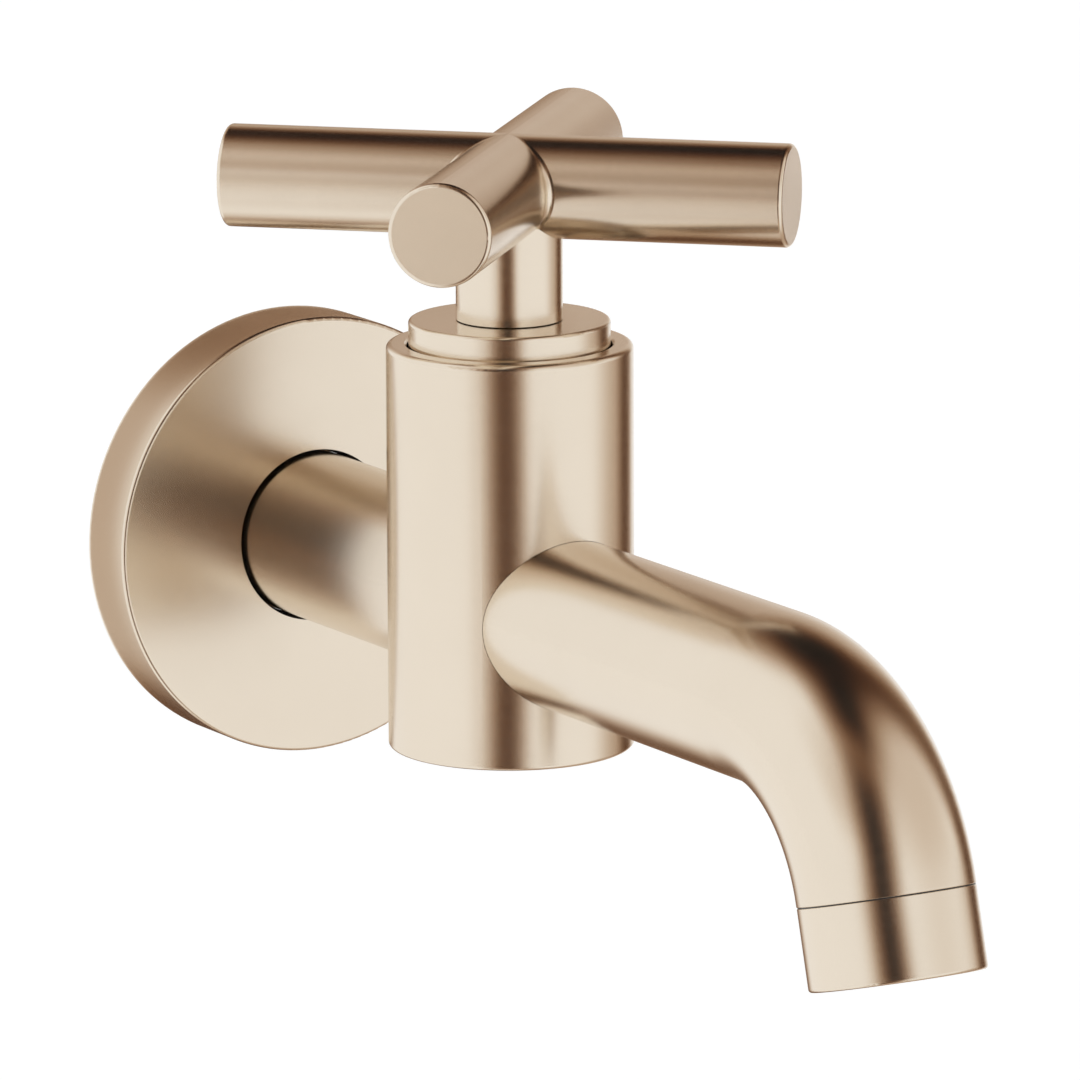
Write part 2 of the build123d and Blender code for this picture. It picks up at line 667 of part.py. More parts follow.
# Spindle: tang, flange, sealed shaft, clip groove and splined top, turned in one piece
ring_levels = [disc_room_top + place for place in spindle_ring_places]
spindle_ring_root = spindle_radius - spindle_ring_section
spindle_ring_half = spindle_ring_section / 2 + guide_clearance
clip_root = spline_root_radius - slip_clearance
tang_width = drive_slot_width - 2 * guide_clearance
tang_bottom = turning_disc_top - drive_slot_depth + guide_clearance
handle_screw_z = collar_top + handle_screw_height
with BuildPart() as spindle:
    with BuildSketch(valve_section):
        with BuildLine():
            Polyline(
                (0, flange_z),
                (spindle_flange_radius, flange_z),
                (spindle_flange_radius, flange_z + spindle_flange),
                (spindle_radius, flange_z + spindle_flange),
                (spindle_radius, headpart_top),
                (clip_root, headpart_top),
                (clip_root, clip_z + clip_thickness + guide_clearance),
                (spline_tip_radius, clip_z + clip_thickness + guide_clearance),
                (spline_tip_radius, collar_top),
                (0, collar_top),
                close=True,
            )
        make_face()
    revolve(axis=valve_axis)
    for level in ring_levels:
        with BuildSketch(valve_level.offset(level - spindle_ring_half)):
            Circle(spindle_radius + slip_clearance)
            Circle(spindle_ring_root, mode=Mode.SUBTRACT)
        extrude(amount=2 * spindle_ring_half, mode=Mode.SUBTRACT)
    with BuildSketch(valve_level.offset(collar_top)):
        with BuildLine():
            Polyline(*spline_outline(0), close=True)
        make_face()
    extrude(amount=spline_top - collar_top)
    with BuildSketch(valve_level.offset(handle_screw_z - spline_groove / 2)):
        Circle(spline_tip_diameter)
        Circle(clip_root, mode=Mode.SUBTRACT)
    extrude(amount=spline_groove, mode=Mode.SUBTRACT)
    with BuildSketch(valve_level.offset(tang_bottom)):
        Rectangle(tang_width, disc_diameter)
        Circle(spindle_flange_radius, mode=Mode.INTERSECT)
    extrude(until=Until.NEXT)
spindle.part.label = "spindle"
export_step(spindle.part, "parts/spindle.step")

# Sealing rings on the spindle
spindle_ring_radius = spindle_ring_section / 2
spindle_ring_middle = spindle_ring_root + seal_clearance + spindle_ring_radius
with BuildPart() as spindle_rings:
    with BuildSketch(valve_section):
        with Locations(*[(spindle_ring_middle, level) for level in ring_levels]):
            Circle(spindle_ring_radius)
    revolve(axis=valve_axis)
spindle_rings.part.label = "spindle_rings"
export_step(spindle_rings.part, "parts/spindle_rings.step")

# Slide washer over the spindle's flange
with BuildPart() as slide_washer:
    with BuildSketch(valve_level.offset(flange_z + spindle_flange)):
        Circle(spindle_flange_radius)
        Circle(spindle_radius + slip_clearance, mode=Mode.SUBTRACT)
    extrude(amount=slide_washer_thickness)
slide_washer.part.label = "slide_washer"
export_step(slide_washer.part, "parts/slide_washer.step")

# Clip that keeps the spindle from dropping through the housing
with BuildPart() as spindle_clip:
    with BuildSketch(valve_level.offset(clip_z)):
        Circle(clip_diameter / 2)
        Circle(clip_root + slip_clearance, mode=Mode.SUBTRACT)
        with Locations((0, clip_diameter / 2)):
            Rectangle(clip_opening, clip_diameter, mode=Mode.SUBTRACT)
    extrude(amount=clip_thickness)
spindle_clip.part.label = "spindle_clip"
export_step(spindle_clip.part, "parts/spindle_clip.step")

# Planes that look along the through bar and along the two arms brazed to its sides
handle_centre = (0, -valve_distance, arm_z)
bar_turn = radians(handle_angle)
bar_plane = Plane(origin=handle_centre, x_dir=(0, 0, 1), z_dir=(cos(bar_turn), sin(bar_turn), 0))
arm_plane = Plane(origin=handle_centre, x_dir=(0, 0, 1), z_dir=(-sin(bar_turn), cos(bar_turn), 0))

# Through bar of the cross
with BuildPart() as cross_bar:
    with BuildSketch(bar_plane):
        Circle(arm_radius)
    extrude(amount=arm_span / 2, both=True)
    fillet(circle_edges(cross_bar, arm_radius), arm_end_round)
cross_bar.part.label = "cross_bar"
export_step(cross_bar.part, "parts/cross_bar.step")

# The two side arms, each coped to the through bar and blended into it by a hollow curve.
# The curve stops at the neck, which is coped to the plain arms.
for side, way in (("left", 1), ("right", -1)):
    with BuildPart() as cross_arm:
        with BuildSketch(arm_plane):
            Circle(arm_radius)
        extrude(amount=way * arm_span / 2)
        fillet(circle_edges(cross_arm, arm_radius).sort_by_distance(handle_centre)[-1], arm_end_round)
        with BuildSketch(bar_plane):
            Circle(arm_radius)
        extrude(amount=arm_span / 2, both=True)
        fillet(cross_arm.edges().filter_by(GeomType.ELLIPSE), arm_root_round)
        with BuildSketch(valve_level.offset(neck_z)):
            Circle(neck_radius)
        extrude(amount=arm_z - neck_z, mode=Mode.SUBTRACT)
        with BuildSketch(arm_plane):
            Circle(arm_radius)
        extrude(amount=way * neck_radius)
        with BuildSketch(bar_plane):
            Circle(arm_radius)
        extrude(amount=arm_span / 2, both=True, mode=Mode.SUBTRACT)
    cross_arm.part.label = f"cross_arm_{side}"
    export_step(cross_arm.part, f"parts/cross_arm_{side}.step")

# Neck: socket for the splined spindle below, coped to the four arms above
with BuildPart() as handle_neck:
    with BuildSketch(valve_level.offset(neck_z)):
        Circle(neck_radius)
    extrude(amount=arm_z - neck_z)
    for plane in (bar_plane, arm_plane):
        with BuildSketch(plane):
            Circle(arm_radius)
        extrude(amount=arm_span / 2, both=True, mode=Mode.SUBTRACT)
    with BuildSketch(valve_level.offset(neck_z)):
        with BuildLine():
            Polyline(*spline_outline(slip_clearance), close=True)
        make_face()
    extrude(amount=socket_top - neck_z, mode=Mode.SUBTRACT)
    with BuildSketch(Plane(origin=(0, -valve_distance, handle_screw_z), x_dir=(1, 0, 0), z_dir=(0, 1, 0))):
        Circle(handle_screw_diameter / 2 + thread_clearance)
    extrude(amount=neck_diameter, mode=Mode.SUBTRACT)
handle_neck.part.label = "handle_neck"
export_step(handle_neck.part, "parts/handle_neck.step")

# Set screw in the back of the neck, which bites in the spindle's groove
handle_screw_tip = clip_root + guide_clearance
handle_screw_length = neck_radius - handle_screw_tip - 2 * guide_clearance
handle_screw_start = (0, handle_screw_tip - valve_distance, handle_screw_z)
with BuildPart() as handle_set_screw:
    with BuildSketch(Plane(origin=handle_screw_start, x_dir=(1, 0, 0), z_dir=(0, 1, 0))):
        Circle(handle_screw_diameter / 2)
    extrude(amount=handle_screw_length)
    with BuildSketch(Plane(handle_set_screw.faces().sort_by(Axis.Y)[-1])):
        RegularPolygon(handle_screw_key / 2, 6, major_radius=False)
    extrude(amount=-handle_screw_key_depth, mode=Mode.SUBTRACT)
handle_set_screw.part.label = "handle_set_screw"
export_step(handle_set_screw.part, "parts/handle_set_screw.step")
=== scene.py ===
# %% [markdown]
# # A wall-mounted basin tap in satin champagne bronze
#
# The tap is already built: every piece of it, from the rosette on the wall to the ceramic discs,
# comes in as a finished solid at its real size. What is left is what a finisher and a photographer
# would do: brush the metal, cut the thread, and set up a small product studio around it.
#
# A model can be dressed by repainting its meshes or by giving each piece a material that is worked
# out from where its points lie. The second way is used, because the brush lines of a turned piece
# follow its own axis and never need to be unwrapped.

# %% Load the finished pieces
import math

import bpy
from mathutils import Matrix, Vector


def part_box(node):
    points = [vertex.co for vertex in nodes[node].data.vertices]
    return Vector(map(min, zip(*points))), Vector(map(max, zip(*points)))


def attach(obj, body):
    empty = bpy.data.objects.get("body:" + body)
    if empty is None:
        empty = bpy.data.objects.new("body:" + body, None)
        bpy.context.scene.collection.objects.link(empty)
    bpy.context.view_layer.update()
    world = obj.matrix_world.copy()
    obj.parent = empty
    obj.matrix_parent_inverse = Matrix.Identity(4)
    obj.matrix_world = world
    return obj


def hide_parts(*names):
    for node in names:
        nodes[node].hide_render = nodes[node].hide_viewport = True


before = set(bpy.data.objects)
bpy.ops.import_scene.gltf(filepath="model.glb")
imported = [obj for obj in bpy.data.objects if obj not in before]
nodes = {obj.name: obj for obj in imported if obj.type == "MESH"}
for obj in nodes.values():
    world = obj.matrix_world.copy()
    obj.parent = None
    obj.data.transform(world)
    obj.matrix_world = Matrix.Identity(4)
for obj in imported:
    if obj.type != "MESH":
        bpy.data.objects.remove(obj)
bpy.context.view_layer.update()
millimetre = 0.001

# %% [markdown]
# ## The camera
#
# The photograph was taken a little from the left and a little from above, with a long lens: the
# far rim of the rosette is hardly smaller than the near end of the handle. A camera can be aimed
# with a constraint, but then its roll can't be set, so its three axes are worked out from an
# azimuth, an elevation and a small roll, and put into its matrix.

# %% Place the camera
camera_azimuth = math.radians(-31.201)
camera_elevation = math.radians(12.182)
camera_roll = math.radians(-0.249)
camera_distance = 1.17347
camera_target = Vector((0, -0.063016, 0.009185))
focal_length_mm = 323.6
nearest_seen = 0.05
farthest_seen = 100


def direction(azimuth, elevation):
    """A line away from the tap: azimuth 0 is straight in front, and a positive one is to the right."""
    level = math.cos(elevation)
    return Vector((math.sin(azimuth) * level, -math.cos(azimuth) * level, math.sin(elevation)))


def facing(azimuth, elevation, roll=0.0):
    """Axes of something that looks at the tap from a direction: its right, its up and its back."""
    back = direction(azimuth, elevation)
    right = Vector((math.cos(azimuth), math.sin(azimuth), 0))
    up = back.cross(right)
    right, up = (right * math.cos(roll) + up * math.sin(roll),
                 up * math.cos(roll) - right * math.sin(roll))
    return Matrix((right, up, back)).transposed()


camera = bpy.data.objects.new("camera", bpy.data.cameras.new("camera"))
bpy.context.scene.collection.objects.link(camera)
camera.data.lens = focal_length_mm
camera.data.clip_start = nearest_seen
camera.data.clip_end = farthest_seen
camera.matrix_world = Matrix.Translation(
    camera_target + camera_distance * direction(camera_azimuth, camera_elevation)
) @ facing(camera_azimuth, camera_elevation, camera_roll).to_4x4()
bpy.context.scene.camera = camera
print("camera", round(camera_distance, 3), "m away, lens", focal_length_mm, "mm")

# %% [markdown]
# ## A small kit for node trees
#
# A material in Blender is a tree of nodes. By hand each node is added, set and linked with the
# mouse, and in code the same takes three lines a node. These helpers take one line: they add a
# node with its settings, start an empty material, do a sum, and turn one range of numbers into
# another. The cells below stay short that way.

# %% Helpers for node trees
def add_node(tree, kind, inputs=(), **settings):
    """Adds a node, sets its options, and then the values of the inputs that nothing is linked to."""
    node = tree.nodes.new(kind)
    for name, value in settings.items():
        setattr(node, name, value)
    for name, value in dict(inputs).items():
        node.inputs[name].default_value = value
    return node


def new_material(name):
    material = bpy.data.materials.new(name)
    material.use_nodes = True
    tree = material.node_tree
    tree.nodes.clear()
    output = add_node(tree, "ShaderNodeOutputMaterial")
    surface = add_node(tree, "ShaderNodeBsdfPrincipled")
    tree.links.new(surface.outputs["BSDF"], output.inputs["Surface"])
    return material, tree, surface


def calculate(tree, operation, *values):
    """A Math node; each value is a number or a socket."""
    node = add_node(tree, "ShaderNodeMath", operation=operation)
    for place, value in enumerate(values):
        if isinstance(value, (int, float)):
            node.inputs[place].default_value = value
        else:
            tree.links.new(value, node.inputs[place])
    return node.outputs[0]


def map_range(tree, value, from_low, from_high, to_low, to_high, smooth=False):
    """Turns a value between two limits into one between two others, evenly or with soft ends."""
    kind = "SMOOTHSTEP" if smooth else "LINEAR"
    node = add_node(tree, "ShaderNodeMapRange", interpolation_type=kind)
    tree.links.new(value, node.inputs["Value"])
    limits = {"From Min": from_low, "From Max": from_high, "To Min": to_low, "To Max": to_high}
    for name, number in limits.items():
        node.inputs[name].default_value = number
    return node.outputs["Result"]


print("helpers: add_node, new_material, calculate, map_range")

# %% [markdown]
# ## The white tent
#
# Polished and satin metal has hardly any colour of its own: it shows what stands around it. A
# photographer of taps builds a white tent and hangs dark flags in it, and the dark lines that run
# down the body are those flags. Painting the lines into the metal would be wrong from every other
# side, so the same tent is built here: a white world, a pale floor below the tap, one soft lamp,
# and flags that only the metal can see. Where the world is seen, straight on or in the metal, it
# is pure white. Where it only lights something, it is a little weaker, so that pale pieces keep
# their colour.

# %% Hang the white tent
tent_seen = 1.0
tent_light = 0.86


def seen_directly(tree):
    """1 for rays that show a thing, and 0 for rays that only gather its light."""
    rays = add_node(tree, "ShaderNodeLightPath")
    seen = calculate(tree, "MAXIMUM", rays.outputs["Is Camera Ray"], rays.outputs["Is Glossy Ray"])
    return calculate(tree, "MAXIMUM", seen, rays.outputs["Is Transmission Ray"])


world = bpy.data.worlds.new("white_tent")
bpy.context.scene.world = world
world.use_nodes = True
tree = world.node_tree
tree.nodes.clear()
background = add_node(tree, "ShaderNodeBackground", {"Color": (1, 1, 1, 1)})
strength = map_range(tree, seen_directly(tree), 0, 1, tent_light, tent_seen)
tree.links.new(strength, background.inputs["Strength"])
world_output = add_node(tree, "ShaderNodeOutputWorld")
tree.links.new(background.outputs[0], world_output.inputs["Surface"])
print("tent: seen at", tent_seen, "and lighting at", tent_light)

# %% [markdown]
# ## Tones that vary
#
# No real surface has one flat colour. Its tones could be painted by hand, but here they are
# blended from two near colours by a noise, a cloud of values that changes smoothly from place to
# place. The floor, the metal and the moulded pieces all use it.

# %% Helpers for tones
def own_place(tree):
    """Where a point lies on its own piece, in metres."""
    return add_node(tree, "ShaderNodeTexCoord").outputs["Object"]


def noise(tree, coordinates, scale, detail=2.0, roughness=0.5):
    node = add_node(tree, "ShaderNodeTexNoise",
                    {"Scale": scale, "Detail": detail, "Roughness": roughness})
    tree.links.new(coordinates, node.inputs["Vector"])
    return node.outputs["Fac"]


def blend_colours(tree, share, first, second):
    node = add_node(tree, "ShaderNodeMix", data_type="RGBA")
    tree.links.new(share, node.inputs["Factor"])
    first_socket, second_socket = [socket for socket in node.inputs if socket.type == "RGBA"]
    first_socket.default_value = (*first, 1)
    second_socket.default_value = (*second, 1)
    return next(socket for socket in node.outputs if socket.type == "RGBA")


print("helpers: own_place, noise, blend_colours")

# %% [markdown]
# ## The floor
#
# The floor is pale and lies far below the tap, so that the tap's shadow on it is wide and faint.
# A brighter lamp would make it white, but it would bleach the tap as well. So the floor gets a
# small glow of its own instead, which counts only where the floor is seen, and the shadow stays.

# %% Lay the floor
floor_height = -2.6
floor_size = 40
floor_lift = 0.25
floor_roughness = 0.9
floor_shade = (0.86, 0.86, 0.86)
floor_pale = (0.9, 0.9, 0.9)
mottles_per_metre = 1.5


def show_both(tree, first, second):
    """Makes the surface out of two shaders whose light adds up."""
    both = add_node(tree, "ShaderNodeAddShader")
    tree.links.new(first.outputs[0], both.inputs[0])
    tree.links.new(second.outputs[0], both.inputs[1])
    tree.links.new(both.outputs[0], tree.nodes["Material Output"].inputs["Surface"])


bpy.ops.object.select_all(action="DESELECT")
bpy.ops.mesh.primitive_plane_add(size=floor_size, location=(0, 0, floor_height))
floor = bpy.context.object
floor.name = "floor"
floor_finish, tree, paint = new_material("pale_floor")
paint.inputs["Roughness"].default_value = floor_roughness
mottle = noise(tree, own_place(tree), mottles_per_metre)
floor_colour = blend_colours(tree, mottle, floor_shade, floor_pale)
tree.links.new(floor_colour, paint.inputs["Base Color"])
lift = add_node(tree, "ShaderNodeEmission", {"Color": (1, 1, 1, 1)})
lift_strength = calculate(tree, "MULTIPLY", seen_directly(tree), floor_lift)
tree.links.new(lift_strength, lift.inputs["Strength"])
show_both(tree, paint, lift)
floor.data.materials.append(floor_finish)
print("floor", floor_height, "m below the pipe")

# %% [markdown]
# ## The lamp
#
# The metal doesn't need it, but rubber and plastic do, and so does the soft shadow on the floor.
# It is a large, weak panel high on the left. The sun or a spot would do too, but their light is
# hard. The panel is kept out of the reflections, so it leaves no bright patch in the bronze.

# %% The soft lamp
lamp_from = (math.radians(-110), math.radians(50))
lamp_distance = 1.6
lamp_size = 1.0
lamp_power = 3.0
lamp = bpy.data.objects.new("soft_lamp", bpy.data.lights.new("soft_lamp", "AREA"))
bpy.context.scene.collection.objects.link(lamp)
lamp.data.size = lamp_size
lamp.data.energy = lamp_power
lamp.visible_glossy = False
lamp.matrix_world = Matrix.Translation(
    camera_target + lamp_distance * direction(*lamp_from)
) @ facing(*lamp_from).to_4x4()
print("lamp of", lamp_power, "W,", lamp_distance, "m away")

# %% [markdown]
# ## Amber scrim
#
# The flags are hung with amber scrim, a thin cloth that takes away more blue than red. What the
# metal shows of it runs from white over warm brown to nearly black, as it does in the photograph.
# Black card could be used instead, but it turns grey where its blurred edge mixes with the white.
# A dark cloth in a white room is never quite black, so the scrim also gets a very faint glow.

# %% Weave the scrim
amber = (1.0, 1.4, 1.8)
cloth_glow = (0.013, 0.0125, 0.012)


def amber_scrim(tree, density):
    """Lets through less light the denser it is, and less blue than red."""
    left = calculate(tree, "SUBTRACT", 1.0, density)
    colour = add_node(tree, "ShaderNodeCombineColor")
    for place, power in enumerate(amber):
        tree.links.new(calculate(tree, "POWER", left, power), colour.inputs[place])
    scrim = add_node(tree, "ShaderNodeBsdfTransparent")
    tree.links.new(colour.outputs[0], scrim.inputs["Color"])
    glow = add_node(tree, "ShaderNodeEmission", {"Color": (*cloth_glow, 1)})
    tree.links.new(density, glow.inputs["Strength"])
    show_both(tree, scrim, glow)


print("scrim of density 0.5 lets through", [round(0.5 ** power, 2) for power in amber],
      "of red, green and blue")

# %% [markdown]
# ## The cloth of a flag
#
# The photograph's dark lines have soft sides, so a flag has to fade out towards its edges. The
# fade could be a painted picture, but here it is worked out from how far a point lies from the
# nearest edge. The cloth may also be denser at one end than at the other.

# %% Cut the cloth
flag_soft_side = 0.45
flag_soft_end = 0.35


def flag_cloth(name, low, high, turn):
    """Cloth with the density low at its lower end and the density high at its upper end.

    The one goes over into the other between the two heights in turn: 0 is the lower end and 1
    the upper. The sides and the ends fade out over their soft share of the cloth.
    """
    material, tree, surface = new_material(name)
    tree.nodes.remove(surface)
    place = add_node(tree, "ShaderNodeSeparateXYZ")
    tree.links.new(add_node(tree, "ShaderNodeTexCoord").outputs["UV"], place.inputs[0])
    density = map_range(tree, place.outputs["Y"], *turn, low, high, smooth=True)
    soft_shares = {"X": flag_soft_side, "Y": flag_soft_end}
    for axis, soft_share in soft_shares.items():
        one_edge = place.outputs[axis]
        other_edge = calculate(tree, "SUBTRACT", 1.0, one_edge)
        nearest = calculate(tree, "MINIMUM", one_edge, other_edge)
        fade = map_range(tree, nearest, 0, soft_share, 0, 1, smooth=True)
        density = calculate(tree, "MULTIPLY", density, fade)
    amber_scrim(tree, density)
    return material


def only_metal_sees(thing):
    thing.visible_camera = False
    thing.visible_diffuse = False
    thing.visible_shadow = False


print("a flag fades over", flag_soft_side, "of its width and", flag_soft_end, "of its height")

# %% [markdown]
# ## Hang the flags
#
# Where a flag has to hang follows from a mirror's rule: the metal shows what lies as far to one
# side of its normal as the camera does to the other. A flag could be set down in metres, but
# round a small tap only its direction counts, so each one gets an azimuth and an elevation, kept
# to steps of five degrees.
#
# The two front flags, behind the camera, draw the dark line down the valve, the neck and the
# outlet. The scrims on their left tone that side down. The roof and back flags draw the brown
# along the top of the spout and the arms, and the others give the tubes their dark edges.

# %% Hang the flags
flag_distance = 2.2
camera_side = -35


def hang_flag(name, azimuth, elevation, half_width, half_height, low, high,
              turn=(0, 1), distance=flag_distance):
    """Places and sizes are in degrees, as they look from the tap."""
    towards = (math.radians(azimuth), math.radians(elevation))
    across = distance * math.tan(math.radians(half_width))
    upwards = distance * math.tan(math.radians(half_height))
    bpy.ops.object.select_all(action="DESELECT")
    bpy.ops.mesh.primitive_plane_add(size=2)
    flag = bpy.context.object
    flag.name = name
    away = Matrix.Translation(camera_target + distance * direction(*towards))
    reach = Matrix.Diagonal((across, upwards, 1)).to_4x4()
    flag.data.transform(away @ facing(*towards).to_4x4() @ reach)
    flag.data.materials.append(flag_cloth(name, low, high, turn))
    only_metal_sees(flag)
    return flag


# name, azimuth, elevation, half width, half height, and the density at the lower and upper end
flags = [
    hang_flag("front_flag_low", camera_side, -35, 25, 45, low=0.85, high=0.95, distance=1.7),
    hang_flag("front_flag_high", camera_side, 25, 30, 45, low=1, high=1),
    hang_flag("left_scrim", camera_side - 10, -10, 30, 35, low=0, high=0.5),
    hang_flag("top_scrim", camera_side - 15, 45, 45, 30, low=0.35, high=0.1),
    hang_flag("roof_flag", 50, 60, 55, 60, low=0.25, high=1, turn=(0.45, 0.6)),
    hang_flag("back_flag", 145, 45, 50, 50, low=0.4, high=1, turn=(0.3, 0.55)),
    hang_flag("right_flag", 105, 15, 25, 55, low=0.95, high=0.7),
    hang_flag("low_back_flag", 160, -30, 25, 55, low=0.95, high=0.75, distance=1.35),
    hang_flag("low_right_flag", 90, -50, 45, 60, low=0.5, high=0.5, distance=1.3),
]
print("flags:", len(flags))

# %% [markdown]
# ## The shade on the wall
#
# The rim of the rosette is so close to the wall that it shows nothing but the strip of wall beside
# it, which lies in the shade of the rosette. A whole wall could be built, but it isn't in the
# picture, so only that strip is made: a thin ring of the same scrim that fades out a few
# millimetres past the rim. It is a disc whose middle is inset and cut out.

# %% Shade round the rosette
shade_reach = 34 * millimetre
shade_full = 31 * millimetre
shade_gap = 0.2 * millimetre
shade_density = 0.4
shade_corners = 96
rosette_radius = (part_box("rosette")[1].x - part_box("rosette")[0].x) / 2
bpy.ops.object.select_all(action="DESELECT")
bpy.ops.mesh.primitive_circle_add(vertices=shade_corners, radius=shade_reach, fill_type="NGON",
                                  rotation=(math.pi / 2, 0, 0))
shade = bpy.context.object
shade.name = "wall_shade"
bpy.ops.object.transform_apply(location=False, rotation=True, scale=False)
bpy.ops.object.mode_set(mode="EDIT")
bpy.ops.mesh.select_all(action="SELECT")
bpy.ops.mesh.inset(thickness=shade_reach - rosette_radius - shade_gap)
bpy.ops.mesh.delete(type="FACE")
bpy.ops.object.mode_set(mode="OBJECT")
material, tree, surface = new_material("wall_shade")
tree.nodes.remove(surface)
outwards = add_node(tree, "ShaderNodeVectorMath", operation="LENGTH")
tree.links.new(own_place(tree), outwards.inputs[0])
fading = map_range(tree, outwards.outputs["Value"], shade_full, shade_reach, shade_density, 0,
                   smooth=True)
amber_scrim(tree, fading)
shade.data.materials.append(material)
only_metal_sees(shade)
print("shade on the wall reaches", round(shade_reach / millimetre, 1), "mm from the pipe's axis")

# %% [markdown]
# ## Where the axes lie
#
# A tap is turned and bent work, so nearly every piece has an axis: the level pipe that leaves the
# wall, the upright valve, the two bars of the handle and the tilted outlet ring. The brush wheel
# ran round these axes. They could be typed in again, but a value that is written twice drifts
# apart, so they are read from the boxes of the pieces. Only the lengths and the bend of the spout
# and the turn of the handle can't be read from a box, so those are named here.

# %% Read the axes from the pieces
def middle(name):
    lowest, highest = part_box(name)
    return (lowest + highest) / 2


spout_straight = 59.3 * millimetre
spout_bend_radius = 24.9 * millimetre
spout_bend_angle = math.radians(74.7)
spout_end_length = 0.3 * millimetre
handle_angle = math.radians(45.4)
valve_centre = middle("valve_body")
pipe_centre = middle("inlet_tube")
handle_centre = middle("cross_bar")
bend_centre = Vector((0, valve_centre.y - spout_straight, pipe_centre.z - spout_bend_radius))
spout_end = direction(0, -spout_bend_angle)
bend_end = bend_centre + spout_bend_radius * direction(0, math.pi / 2 - spout_bend_angle)
spout_mouth = bend_end + spout_end_length * spout_end
for name, place in (("valve", valve_centre), ("bend", bend_centre), ("mouth", spout_mouth)):
    print(name, "centre in mm:", [round(v / millimetre, 2) for v in place])

# %% [markdown]
# ## Distances that the brush lines follow
#
# A brush line runs round a turned piece at a steady height on its shell, and at a steady radius on
# its flat face. Height plus radius is steady along both, so that sum tells one line from the next.
# On the spout it is the distance along the bent centre line instead. The pieces could be unwrapped
# and striped, but the seam of the unwrapping would break the lines.

# %% Distances along a piece
def place_from(tree, centre, turn=(0, 0, 0)):
    """A point's x, y and z, measured from a centre and along turned axes."""
    local = add_node(tree, "ShaderNodeMapping", {"Location": centre, "Rotation": turn},
                     vector_type="TEXTURE")
    tree.links.new(own_place(tree), local.inputs["Vector"])
    parts = add_node(tree, "ShaderNodeSeparateXYZ")
    tree.links.new(local.outputs[0], parts.inputs[0])
    return parts.outputs


def along_axis(tree, centre, turn):
    """Distance along a straight axis plus distance from it: steady round the piece."""
    x, y, z = place_from(tree, centre, turn)
    square = calculate(tree, "MULTIPLY_ADD", y, y, calculate(tree, "MULTIPLY", x, x))
    return calculate(tree, "ADD", z, calculate(tree, "SQRT", square))


def along_bend(tree):
    """Distance along the centre line of the spout, straight first and then round its bend."""
    x, y, z = place_from(tree, bend_centre)
    turned = calculate(tree, "ARCTAN2", calculate(tree, "MULTIPLY", y, -1.0), z)
    turned_on = calculate(tree, "MAXIMUM", turned, 0.0)
    round_bend = calculate(tree, "MULTIPLY", turned_on, spout_bend_radius)
    return calculate(tree, "SUBTRACT", round_bend, calculate(tree, "MAXIMUM", y, 0.0))


print("centre line of the bend:", round(spout_bend_radius * spout_bend_angle / millimetre, 1), "mm")

# %% [markdown]
# ## Satin champagne bronze
#
# The finish is a thin coloured coating on brass that was brushed round the piece first. Three
# things make it: the warm metal itself, hair-fine lines round the axis, which spread a reflection,
# and slow changes in how much it spreads. The lines could be made with anisotropy alone, but then
# a close look finds no grain. So they are a height map: a noise that changes fast across the lines
# and slowly along them.

# %% Brush the metal
line_length = 12 * millimetre
clouds_per_metre = 70.0
grain_share = 0.5
dull_from = 0.3
dull_to = 0.7


def brushed_grain(tree, distance, line_width):
    """Noise that changes within a line's width across the brush lines and slowly along them."""
    slow = add_node(tree, "ShaderNodeVectorMath", operation="SCALE")
    tree.links.new(own_place(tree), slow.inputs[0])
    slow.inputs["Scale"].default_value = 1 / line_length
    grain = add_node(tree, "ShaderNodeTexNoise", {"Scale": 1.0, "Detail": 3.0, "Roughness": 0.6},
                     noise_dimensions="4D")
    tree.links.new(slow.outputs[0], grain.inputs["Vector"])
    tree.links.new(calculate(tree, "MULTIPLY", distance, 1 / line_width), grain.inputs["W"])
    return grain.outputs["Fac"]


def brushed_metal(name, distance_maker, light, deep, smoothest, roughest, line_width, line_depth):
    """A metal in two tones, with lines across the distance that distance_maker works out."""
    material, tree, surface = new_material(name)
    surface.inputs["Metallic"].default_value = 1.0
    grain = brushed_grain(tree, distance_maker(tree), line_width)
    clouds = noise(tree, own_place(tree), clouds_per_metre, detail=3.0)
    tree.links.new(blend_colours(tree, clouds, light, deep), surface.inputs["Base Color"])
    cloud_part = calculate(tree, "MULTIPLY", clouds, 1 - grain_share)
    both = calculate(tree, "MULTIPLY_ADD", grain, grain_share, cloud_part)
    dullness = map_range(tree, both, dull_from, dull_to, smoothest, roughest)
    tree.links.new(dullness, surface.inputs["Roughness"])
    lines = add_node(tree, "ShaderNodeBump", {"Strength": 1.0, "Distance": line_depth})
    tree.links.new(grain, lines.inputs["Height"])
    tree.links.new(lines.outputs[0], surface.inputs["Normal"])
    return material


print("brush lines about", round(line_length / millimetre), "mm long")

# %% [markdown]
# ## Dress the outer pieces
#
# Each outer piece gets the same bronze round its own axis. One material could serve them all if
# it looked up the piece it is on, but ten plain ones are easier to follow. The rosette is the
# only large flat face, and the photograph shows a softer reflection on it, so its lines are
# shallower and its surface is a little duller.

